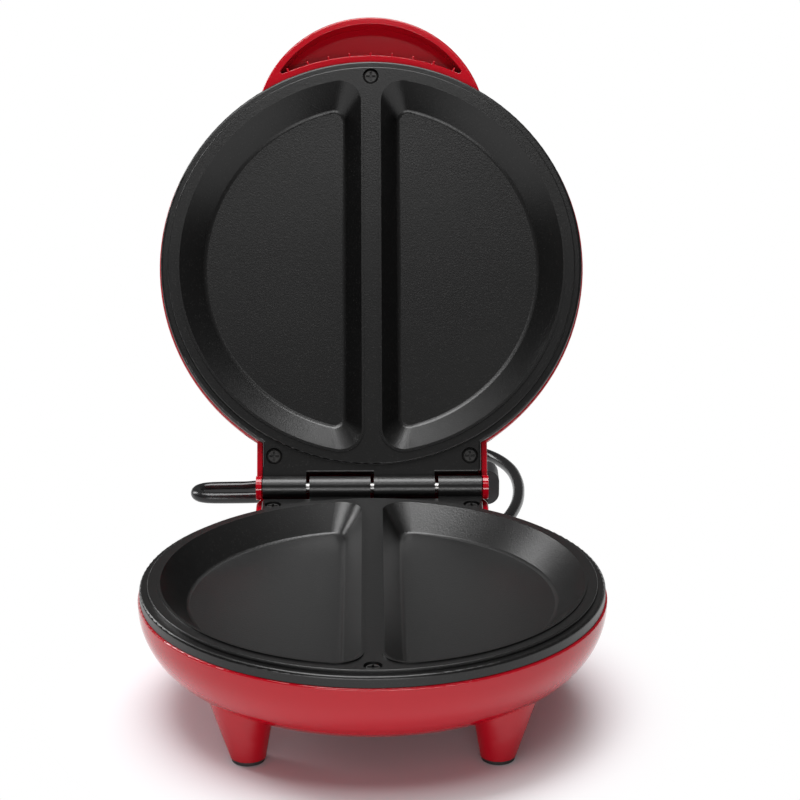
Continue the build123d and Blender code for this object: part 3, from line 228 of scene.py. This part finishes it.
def finish(name, dark, light, rough=(0.3, 0.4), patch=12.0, grain_scale=1500.0, bump=0.05,
           stretch=(1, 1, 1), fleck=None, **sockets):
    """Principled material between two tones; fleck is (scale, share, strength, colour)."""
    look = bpy.data.materials.new(name)
    look.use_nodes = True
    tree = look.node_tree
    shader = tree.nodes["Principled BSDF"]
    tone = tree.nodes.new("ShaderNodeGroup")
    tone.node_tree = patches
    tone.inputs["Scale"].default_value = patch
    tone.inputs["Low"].default_value = 0.0
    tone.inputs["High"].default_value = 1.0
    blend = tree.nodes.new("ShaderNodeMix")
    blend.data_type = "RGBA"
    blend.inputs["A"].default_value = (*dark, 1)
    blend.inputs["B"].default_value = (*light, 1)
    link(tree, tone.outputs["Value"], blend.inputs["Factor"])
    colour = blend.outputs["Result"]
    if fleck:
        scale, share, strength, fleck_colour = fleck
        spots = tree.nodes.new("ShaderNodeGroup")
        spots.node_tree = flecks
        spots.inputs["Scale"].default_value = scale
        spots.inputs["Share"].default_value = share
        spots.inputs["Strength"].default_value = strength
        sprinkle = tree.nodes.new("ShaderNodeMix")
        sprinkle.data_type = "RGBA"
        sprinkle.inputs["B"].default_value = (*fleck_colour, 1)
        link(tree, spots.outputs["Mask"], sprinkle.inputs["Factor"])
        link(tree, colour, sprinkle.inputs["A"])
        colour = sprinkle.outputs["Result"]
    link(tree, colour, shader.inputs["Base Color"])
    gloss = tree.nodes.new("ShaderNodeGroup")
    gloss.node_tree = patches
    gloss.inputs["Scale"].default_value = patch * GLOSS_SCALE
    gloss.inputs["Low"].default_value = rough[0]
    gloss.inputs["High"].default_value = rough[1]
    link(tree, gloss.outputs["Value"], shader.inputs["Roughness"])
    tooth = tree.nodes.new("ShaderNodeGroup")
    tooth.node_tree = grain
    tooth.inputs["Scale"].default_value = grain_scale
    tooth.inputs["Stretch"].default_value = stretch
    relief = tree.nodes.new("ShaderNodeBump")
    relief.inputs["Strength"].default_value = bump
    relief.inputs["Distance"].default_value = GRAIN_DEPTH
    link(tree, tooth.outputs["Height"], relief.inputs["Height"])
    link(tree, relief.outputs["Normal"], shader.inputs["Normal"])
    for socket, value in sockets.items():
        shader.inputs[socket.replace("_", " ")].default_value = value
    print("finish", name)
    return look


# %% [markdown]
# The plates are cast aluminium under a sprayed non-stick coat.  It is almost black, with a slight
# orange-peel grain and tiny mineral flecks that catch the light.  A plain dark grey would look flat,
# so the base is darker than it seems and the broad gloss does the rest: it shows the coat only where
# a lamp's light glances off it.

# %% Non-stick coat
looks = {}
looks["nonstick_coating"] = finish(
    "nonstick_coating", (0.0022, 0.0022, 0.0023), (0.0034, 0.0033, 0.0032), rough=(0.30, 0.33),
    patch=9.0, grain_scale=1300.0, bump=0.28, fleck=(1300.0, 0.14, 0.35, (0.05, 0.049, 0.046)),
)

# %% [markdown]
# The shells are moulded in red plastic with a hard gloss, so the colour is even and the highlights
# are sharp.  A clear coat over a rougher base would be car paint.  One low roughness is closer to
# plastic, and a trace of wide grain keeps its reflections from being perfect mirrors.

# %% Red shell
looks["red_shell"] = finish(
    "red_shell", (0.385, 0.0006, 0.0075), (0.415, 0.0009, 0.0100), rough=(0.07, 0.10), patch=5.0,
    grain_scale=420.0, bump=0.012,
)

# %% [markdown]
# The metals are bare steel, nickel and aluminium, and the element's dark sheath.  They could share one
# grey metal, but each was worked in its own way.  Drawn and rolled ones get a grain that is stretched
# along one axis.  The plate screws are near black and no metal to the light at all; their black is
# painted shade, standing in for the shade of the deep recesses they sit in.

# %% Metals
looks["screw_steel"] = finish(
    "screw_steel", (0.30, 0.30, 0.30), (0.42, 0.41, 0.40), rough=(0.28, 0.42), patch=300.0,
    grain_scale=3000.0, bump=0.15, Metallic=1.0,
)
# Near-black screw heads: the dark is painted shade of the deep recesses they sit in.
looks["black_screw_steel"] = finish(
    "black_screw_steel", (0.012, 0.012, 0.012), (0.022, 0.021, 0.020), rough=(0.3, 0.45),
    patch=300.0, grain_scale=3000.0, bump=0.12,
)
looks["sheet_steel"] = finish(
    "sheet_steel", (0.52, 0.51, 0.49), (0.64, 0.63, 0.60), rough=(0.25, 0.4), patch=60.0,
    grain_scale=900.0, bump=0.1, stretch=(0.05, 1, 1), Metallic=1.0,
)
looks["element_sheath"] = finish(
    "element_sheath", (0.10, 0.095, 0.09), (0.20, 0.18, 0.16), rough=(0.4, 0.6), patch=40.0,
    grain_scale=1200.0, bump=0.2, Metallic=1.0,
)
looks["reflector_aluminium"] = finish(
    "reflector_aluminium", (0.80, 0.80, 0.81), (0.88, 0.88, 0.89), rough=(0.12, 0.22), patch=25.0,
    grain_scale=700.0, bump=0.06, stretch=(1, 0.04, 1), Metallic=1.0,
)
looks["blade_nickel"] = finish(
    "blade_nickel", (0.46, 0.45, 0.43), (0.58, 0.57, 0.54), rough=(0.2, 0.32), patch=80.0,
    grain_scale=2000.0, bump=0.08, Metallic=1.0,
)

# %% [markdown]
# Moulded switch bodies, the nylon lamp holder, the woven sleeves of the inner wires, the cord, its
# plug and the foot pads are all soft or matt beside the shells.  They differ mostly in how rough they
# are, so a narrow range of greys is enough.  The nylon lets a little light in, as it does when thin.

# %% Plastics, rubber and sleeves
looks["dark_bakelite"] = finish(
    "dark_bakelite", (0.03, 0.02, 0.016), (0.05, 0.032, 0.026), rough=(0.3, 0.45), patch=120.0,
    grain_scale=1500.0, bump=0.1,
)
looks["white_nylon"] = finish(
    "white_nylon", (0.76, 0.75, 0.70), (0.84, 0.83, 0.79), rough=(0.38, 0.5), patch=50.0,
    grain_scale=900.0, bump=0.06, Subsurface_Weight=0.1,
)
looks["wire_sleeve"] = finish(
    "wire_sleeve", (0.66, 0.64, 0.57), (0.80, 0.78, 0.71), rough=(0.6, 0.8), patch=500.0,
    grain_scale=2600.0, bump=0.7, stretch=(1, 0.4, 1),
)
looks["cord_jacket"] = finish(
    "cord_jacket", (0.0065, 0.0065, 0.007), (0.010, 0.010, 0.0105), rough=(0.20, 0.28), patch=30.0,
    grain_scale=1100.0, bump=0.05,
)
looks["plug_plastic"] = finish(
    "plug_plastic", (0.022, 0.022, 0.024), (0.030, 0.030, 0.033), rough=(0.38, 0.5), patch=60.0,
    grain_scale=1300.0, bump=0.25,
)
looks["foot_rubber"] = finish(
    "foot_rubber", (0.014, 0.014, 0.014), (0.022, 0.022, 0.022), rough=(0.6, 0.75), patch=60.0,
    grain_scale=1500.0, bump=0.3,
)

# %% [markdown]
# The indicator lenses are tinted clear plastic over small neon lamps.  They could be plain glossy red
# and green, which is enough from far off.  Some transmission makes them look deep from close by.

# %% Glass of the lenses and lamps
looks["red_lens"] = finish(
    "red_lens", (0.70, 0.02, 0.015), (0.76, 0.03, 0.02), rough=(0.06, 0.1), patch=80.0,
    grain_scale=600.0, bump=0.02, Transmission_Weight=0.7, IOR=1.49,
)
looks["green_lens"] = finish(
    "green_lens", (0.02, 0.50, 0.08), (0.03, 0.58, 0.10), rough=(0.06, 0.1), patch=80.0,
    grain_scale=600.0, bump=0.02, Transmission_Weight=0.7, IOR=1.49,
)
looks["lamp_glass"] = finish(
    "lamp_glass", (0.92, 0.80, 0.62), (0.95, 0.84, 0.70), rough=(0.03, 0.06), patch=80.0,
    grain_scale=600.0, bump=0.01, Transmission_Weight=0.9, IOR=1.5,
)

# %% [markdown]
# ## Finishes onto the pieces
# Each piece names the finish it was made in.  Setting them one by one would be long and easy to get
# wrong, so a loop reads the names from the model's record.

# %% Give every piece of the model its finish
for part in record["subparts"]:
    node = nodes[part["node"]]
    if not node.material_slots:
        node.data.materials.append(None)
    for slot in node.material_slots:
        slot.material = looks[part["material_slot"]]
print("finishes:", len(looks), "on", len(record["subparts"]), "pieces")

# %% [markdown]
# The smooth cord takes the place of the model's tube.  It rides on the base, which it comes out of,
# so it stays where it is when the lid moves.

# %% Cord in place
cord_curve.materials.append(looks["cord_jacket"])
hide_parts("cord")
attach(supply_cord, "base")
print(f"cord in place, from {tuple(round(v, 4) for v in place(*CORD_ROUTE[0]))} to the plug")

# %% [markdown]
# ## Plate screws
# Three small pan head screws hold each plate.  They could be modelled once and copied by hand, but
# they are all alike, so a Geometry Nodes tree builds one from a few named sizes and sets it on every
# point of a tiny mesh that holds only their places.  A new size then changes all six at once.

# %% Sizes of a screw, and the tree's inputs
HEAD_RADIUS = 0.0034
HEAD_HEIGHT = 0.002
HEAD_CHAMFER = 0.0008
SHANK_RADIUS = 0.002
SHANK_LENGTH = 0.014
RECESS_SPAN = 0.00442
RECESS_WIDTH = 0.001
RECESS_DEPTH = 0.0011
SHANK_OVERLAP = 0.0005  # how far the shank reaches into the head, so that the two join
SCREW_SIDES = 40
screw_tree = bpy.data.node_groups.new("screws_on_points", "GeometryNodeTree")
screw_tree.interface.new_socket("Geometry", in_out="INPUT", socket_type="NodeSocketGeometry")
for label, size in (
    ("Head Radius", HEAD_RADIUS), ("Head Height", HEAD_HEIGHT), ("Chamfer", HEAD_CHAMFER),
    ("Shank Radius", SHANK_RADIUS), ("Shank Length", SHANK_LENGTH), ("Recess Span", RECESS_SPAN),
    ("Recess Width", RECESS_WIDTH), ("Recess Depth", RECESS_DEPTH), ("Tilt", 0.0),
):
    socket = screw_tree.interface.new_socket(label, in_out="INPUT", socket_type=FLOAT)
    socket.default_value = size
screw_tree.interface.new_socket("Material", in_out="INPUT", socket_type="NodeSocketMaterial")
screw_tree.interface.new_socket("Geometry", in_out="OUTPUT", socket_type="NodeSocketGeometry")
given = screw_tree.nodes.new("NodeGroupInput")
made = screw_tree.nodes.new("NodeGroupOutput")
print("screw tree takes", [item.name for item in screw_tree.interface.items_tree])

# %% [markdown]
# A tree of a few dozen nodes is hard to read as one list.  Small helpers name what each bit of it
# does: a sum, a vector, something lifted, a round piece, a bar and a boolean.

# %% Numbers and vectors in the tree
def sized(operation, first, second):
    """Sum, difference or product of a socket and a socket or number, in the screw tree."""
    node = screw_tree.nodes.new("ShaderNodeMath")
    node.operation = operation
    link(screw_tree, first, node.inputs[0])
    if isinstance(second, float):
        node.inputs[1].default_value = second
    else:
        link(screw_tree, second, node.inputs[1])
    return node.outputs[0]


def vector(**parts):
    """Vector in the screw tree from sockets for X, Y or Z; a missing one is zero."""
    node = screw_tree.nodes.new("ShaderNodeCombineXYZ")
    for axis, value in parts.items():
        link(screw_tree, value, node.inputs[axis])
    return node.outputs[0]


def raised(piece, height):
    """Piece of the screw tree lifted to a height."""
    shift = screw_tree.nodes.new("GeometryNodeTransform")
    link(screw_tree, piece, shift.inputs["Geometry"])
    link(screw_tree, vector(Z=height), shift.inputs["Translation"])
    return shift.outputs[0]


# %% Solids in the tree
def round_piece(bottom, top, depth):
    """Cone or cylinder in the screw tree, standing on the origin."""
    cone = screw_tree.nodes.new("GeometryNodeMeshCone")
    cone.inputs["Vertices"].default_value = SCREW_SIDES
    link(screw_tree, bottom, cone.inputs["Radius Bottom"])
    link(screw_tree, top, cone.inputs["Radius Top"])
    link(screw_tree, depth, cone.inputs["Depth"])
    return cone.outputs["Mesh"]


def recess_bar(size_x, size_y, size_z):
    """Bar of the cross recess, centred on the origin."""
    bar = screw_tree.nodes.new("GeometryNodeMeshCube")
    link(screw_tree, vector(X=size_x, Y=size_y, Z=size_z), bar.inputs["Size"])
    return bar.outputs["Mesh"]


def boolean(operation, first, others):
    """Exact boolean in the screw tree."""
    node = screw_tree.nodes.new("GeometryNodeMeshBoolean")
    node.operation = operation
    node.solver = "EXACT"
    if first is not None:
        link(screw_tree, first, node.inputs["Mesh 1"])
    for other in others:
        link(screw_tree, other, node.inputs["Mesh 2"])
    return node.outputs["Mesh"]


# %% [markdown]
# The head is a drum with a chamfered crown, the shank a plain cylinder that reaches a little into it,
# and the cross recess is two bars cut out of the top.  A thread is left out, because the shank is
# always hidden in its boss.

# %% One screw
radius = given.outputs["Head Radius"]
height = given.outputs["Head Height"]
chamfer = given.outputs["Chamfer"]
shank = given.outputs["Shank Radius"]
shank_length = given.outputs["Shank Length"]
span = given.outputs["Recess Span"]
width = given.outputs["Recess Width"]
shank_bottom = sized("MULTIPLY", shank_length, -1.0)
shank_depth = sized("ADD", shank_length, SHANK_OVERLAP)
rim_height = sized("SUBTRACT", height, chamfer)
top_radius = sized("SUBTRACT", radius, chamfer)
bar_height = sized("MULTIPLY", given.outputs["Recess Depth"], 2.0)
drum = round_piece(radius, radius, rim_height)
crown = raised(round_piece(radius, top_radius, chamfer), rim_height)
stem = raised(round_piece(shank, shank, shank_depth), shank_bottom)
body = boolean("UNION", None, (drum, crown, stem))
bars = (recess_bar(span, width, bar_height), recess_bar(width, span, bar_height))
finished = boolean("DIFFERENCE", body, [raised(bar, height) for bar in bars])
print("one screw takes", len(screw_tree.nodes), "nodes")

# %% A screw on each point
flat = screw_tree.nodes.new("GeometryNodeSetShadeSmooth")
flat.inputs["Shade Smooth"].default_value = False
link(screw_tree, finished, flat.inputs["Geometry"])
spread_out = screw_tree.nodes.new("GeometryNodeInstanceOnPoints")
link(screw_tree, given.outputs["Geometry"], spread_out.inputs["Points"])
link(screw_tree, flat.outputs[0], spread_out.inputs["Instance"])
link(screw_tree, vector(X=given.outputs["Tilt"]), spread_out.inputs["Rotation"])
real = screw_tree.nodes.new("GeometryNodeRealizeInstances")
link(screw_tree, spread_out.outputs[0], real.inputs[0])
painted = screw_tree.nodes.new("GeometryNodeSetMaterial")
link(screw_tree, real.outputs[0], painted.inputs["Geometry"])
link(screw_tree, given.outputs["Material"], painted.inputs["Material"])
link(screw_tree, painted.outputs[0], made.inputs[0])
print("screw tree with", len(screw_tree.nodes), "nodes")

# %% [markdown]
# The places are easiest to state with the lid closed, where the two plates mirror each other.  The
# upper ones are then swung open with the lid, and their heads lean to face out of its plate.

# %% Places on the open lid
HINGE_AXIS = (104.6, 58.4)  # its Y and height in millimetres
OPEN_ANGLE = math.radians(119)


def opened(x, y, z):
    """Point of the open lid, from its millimetres with the lid closed."""
    back, up = y - HINGE_AXIS[0], z - HINGE_AXIS[1]
    cos, sin = math.cos(-OPEN_ANGLE), math.sin(-OPEN_ANGLE)
    return place(x, HINGE_AXIS[0] + back * cos - up * sin, HINGE_AXIS[1] + back * sin + up * cos)


print(f"lid open by {math.degrees(OPEN_ANGLE):.0f} degrees about an axis {HINGE_AXIS[1]} mm up")


# %% Screws as one plain mesh for each body
def plate_screws(name, replaced, body_name, places, tilt):
    """Screws at the given places as one plain mesh on one body."""
    seats = bpy.data.meshes.new(name + "_places")
    seats.from_pydata(places, [], [])
    seated = bpy.data.objects.new(name + "_places", seats)
    bpy.context.scene.collection.objects.link(seated)
    modifier = seated.modifiers.new("screws", "NODES")
    modifier.node_group = screw_tree
    # The screws' near-black finish is painted shade of the recesses they sit in.
    values = {"Tilt": tilt, "Material": looks["black_screw_steel"]}
    for item in screw_tree.interface.items_tree:
        if item.in_out == "INPUT" and item.name in values:
            modifier[item.identifier] = values[item.name]
    evaluated = seated.evaluated_get(bpy.context.evaluated_depsgraph_get())
    mesh = bpy.data.meshes.new_from_object(evaluated)
    seated.modifiers.remove(modifier)
    bpy.data.objects.remove(seated)
    piece = bpy.data.objects.new(name, mesh)
    bpy.context.scene.collection.objects.link(piece)
    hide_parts(replaced)
    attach(piece, body_name)
    print(name, "has", len(mesh.polygons), "faces")


# %% Screws on both plates
# across, back, and how much deeper than the front one the seat lies in its plate
SCREW_PLACES = ((0, -89.2, 0), (44.5, 89.6, 1.5), (-44.5, 89.6, 1.5))
LOWER_SEAT = 55.0  # height of the front seat in millimetres
UPPER_SEAT = 61.8  # the same in the upper plate, with the lid closed
plate_screws(
    "lower_plate_screws", "base_plate_screws", "base",
    [place(x, y, LOWER_SEAT - drop) for x, y, drop in SCREW_PLACES], 0.0,
)
plate_screws(
    "upper_plate_screws", "lid_plate_screws", "lid",
    [opened(x, y, UPPER_SEAT + drop) for x, y, drop in SCREW_PLACES], math.pi - OPEN_ANGLE,
)

# %% [markdown]
# ## Floor, light and backdrop
# The machine stands on a plain pale worktop.  A curved paper backdrop would hide the horizon too, but
# it throws its own grey gradients.  Here the floor is lit and takes the shadow close to the machine,
# and fades to plain white further out.

# %% Floor
FLOOR_REACH = 6.0
LIT_RADIUS = 0.075  # the floor is all lamp light and shadow inside this, in metres
WHITE_RADIUS = 0.14  # and all white outside this
floor_mesh = bpy.data.meshes.new("floor")
floor_mesh.from_pydata(
    [(x * FLOOR_REACH, y * FLOOR_REACH, 0) for x, y in ((-1, -1), (1, -1), (1, 1), (-1, 1))],
    [], [(0, 1, 2, 3)],
)
floor = bpy.data.objects.new("floor", floor_mesh)
bpy.context.scene.collection.objects.link(floor)
ground = bpy.data.materials.new("floor")
ground.use_nodes = True
tree = ground.node_tree
tree.nodes.clear()
output = tree.nodes.new("ShaderNodeOutputMaterial")
matt = tree.nodes.new("ShaderNodeBsdfDiffuse")
matt.inputs["Color"].default_value = (0.86, 0.80, 0.84, 1)
glow = tree.nodes.new("ShaderNodeEmission")
where = tree.nodes.new("ShaderNodeTexCoord")
distance = tree.nodes.new("ShaderNodeVectorMath")
distance.operation = "DISTANCE"
distance.inputs[1].default_value = place(0, 0, 0)
fade = tree.nodes.new("ShaderNodeMapRange")
fade.interpolation_type = "SMOOTHSTEP"
fade.inputs["From Min"].default_value = LIT_RADIUS
fade.inputs["From Max"].default_value = WHITE_RADIUS
ray = tree.nodes.new("ShaderNodeLightPath")
seen = tree.nodes.new("ShaderNodeMath")
seen.operation = "MAXIMUM"
share = tree.nodes.new("ShaderNodeMath")
share.operation = "MULTIPLY"
mix = tree.nodes.new("ShaderNodeMixShader")
link(tree, where.outputs["Object"], distance.inputs[0])
link(tree, distance.outputs["Value"], fade.inputs["Value"])
link(tree, ray.outputs["Is Camera Ray"], seen.inputs[0])
link(tree, ray.outputs["Is Glossy Ray"], seen.inputs[1])
link(tree, fade.outputs["Result"], share.inputs[0])
link(tree, seen.outputs[0], share.inputs[1])
link(tree, share.outputs[0], mix.inputs["Fac"])
link(tree, matt.outputs[0], mix.inputs[1])
link(tree, glow.outputs[0], mix.inputs[2])
link(tree, mix.outputs[0], output.inputs["Surface"])
floor_mesh.materials.append(ground)
print(f"floor all lit within {LIT_RADIUS} m, all white beyond {WHITE_RADIUS} m")

# %% [markdown]
# Past the floor the camera has to see plain white, but a white world would also light the machine from
# all sides and wash out its shape.  The Light Path node tells the two apart: white for the camera, and
# a weak soft light for everything else.

# %% World
WORLD_LIGHT = 0.12
WORLD_WHITE = 1.0
world = bpy.data.worlds.new("studio")
bpy.context.scene.world = world
world.use_nodes = True
tree = world.node_tree
tree.nodes.clear()
output = tree.nodes.new("ShaderNodeOutputWorld")
soft = tree.nodes.new("ShaderNodeBackground")
soft.inputs["Color"].default_value = (1.0, 0.98, 0.97, 1)
soft.inputs["Strength"].default_value = WORLD_LIGHT
white = tree.nodes.new("ShaderNodeBackground")
white.inputs["Color"].default_value = (1, 1, 1, 1)
white.inputs["Strength"].default_value = WORLD_WHITE
ray = tree.nodes.new("ShaderNodeLightPath")
mix = tree.nodes.new("ShaderNodeMixShader")
link(tree, ray.outputs["Is Camera Ray"], mix.inputs["Fac"])
link(tree, soft.outputs[0], mix.inputs[1])
link(tree, white.outputs[0], mix.inputs[2])
link(tree, mix.outputs[0], output.inputs["Surface"])
print("world light", WORLD_LIGHT, "and white", WORLD_WHITE, "for the camera")

# %% [markdown]
# One broad lamp hangs over the machine and gives the shells their long highlights.  A small one high
# in front lets the lid's dark floors show, a low one lights the bowl, and one at the left draws the
# edges.  All are rectangles, as a studio's softboxes are, because a gloss shows the lamp's own shape.

# %% Lamps
def softbox(name, spot, target, width, height, power):
    """Rectangular lamp at one point that faces another, with its power in watts."""
    lamp = bpy.data.lights.new(name, "AREA")
    lamp.shape = "RECTANGLE"
    lamp.size = width
    lamp.size_y = height
    lamp.energy = power
    holder = bpy.data.objects.new(name, lamp)
    bpy.context.scene.collection.objects.link(holder)
    holder.location = spot
    holder.rotation_euler = (Vector(target) - Vector(spot)).to_track_quat("-Z", "Y").to_euler()
    print(name, "lamp of", power, "W")


BASE_SPOT = (0, 0, 0.06)
MIDDLE_SPOT = (0, 0, 0.1)
LID_SPOT = (0, 0.05, 0.15)
softbox("overhead", (-0.1, 0.15, 1.5), MIDDLE_SPOT, width=1.3, height=0.7, power=25)
softbox("high_front", (-0.1, -0.72, 1.45), LID_SPOT, width=0.9, height=0.3, power=3)
softbox("low_front", (-0.1, -1.6, 0.24), BASE_SPOT, width=1.4, height=0.28, power=10)
softbox("left", (-1.2, 0.75, 0.7), LID_SPOT, width=0.4, height=0.8, power=9)

# %% [markdown]
# ## Colour view, and the end
# The render shows its colours as they are, with no film curve laid over them.

# %% Colour view, and the end
bpy.context.scene.view_settings.view_transform = "Standard"
